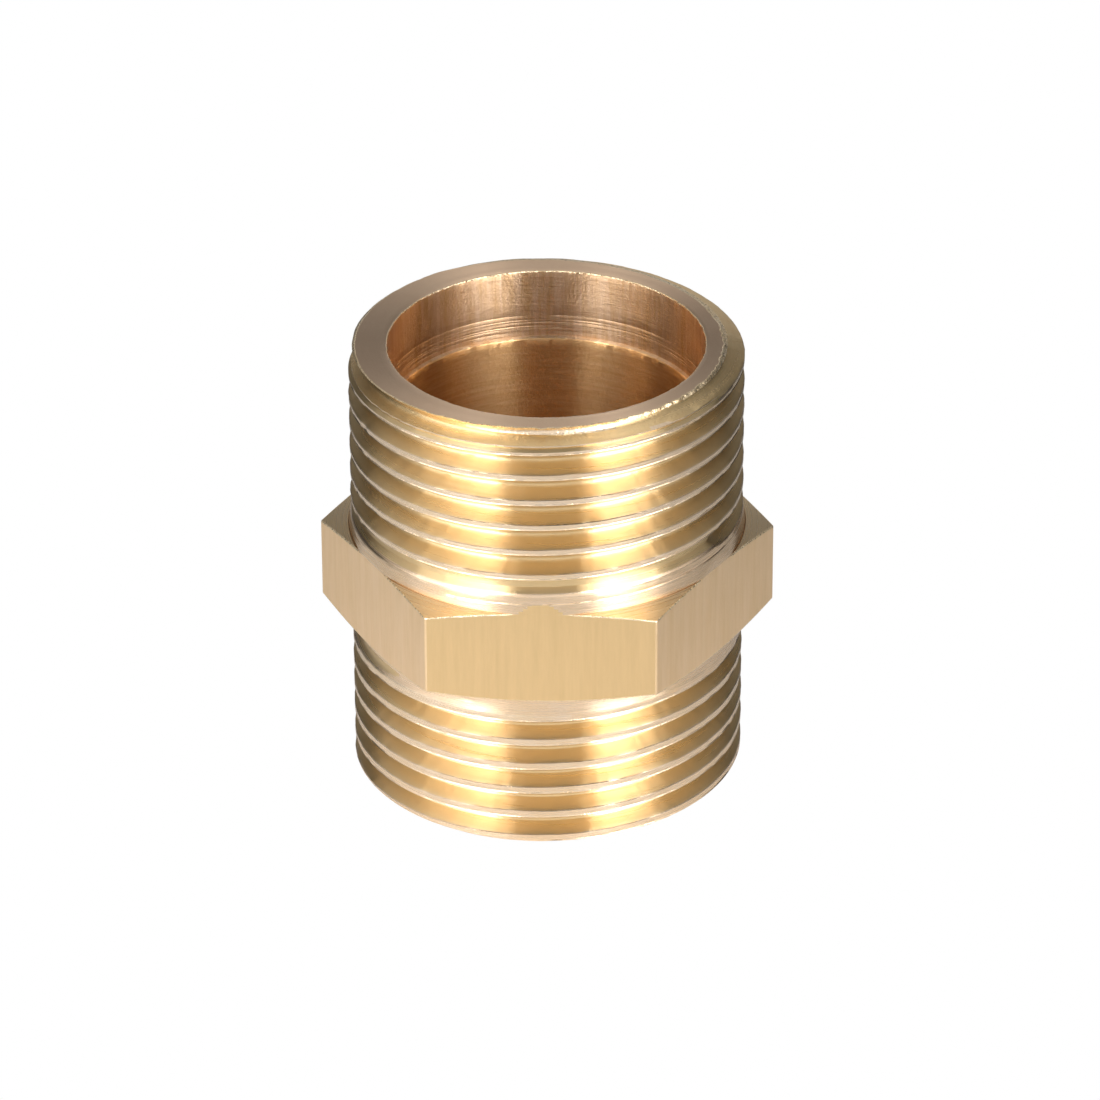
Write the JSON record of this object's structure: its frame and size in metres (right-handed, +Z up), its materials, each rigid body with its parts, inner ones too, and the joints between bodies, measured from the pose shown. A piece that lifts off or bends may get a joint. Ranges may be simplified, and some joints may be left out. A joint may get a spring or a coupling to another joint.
{
  "type": "hex nipple",
  "caption": "Brass hex nipple: a through-bored pipe fitting with a male parallel pipe thread at each end and a hexagonal spanner section between them.",
  "frame": {"origin": "centre of the lower end face, on the bore's axis", "axes": "+Z up the bore from the shorter threaded end to the longer one; +X through a corner of the hexagon; -Y out of one of its flats"},
  "size_m": [0.03, 0.026, 0.0302],
  "materials": {
    "brass": "bright turned brass with drawn flats"
  },
  "bodies": {
    "root": {"nipple_body": "brass"}
  },
  "joints": []
}
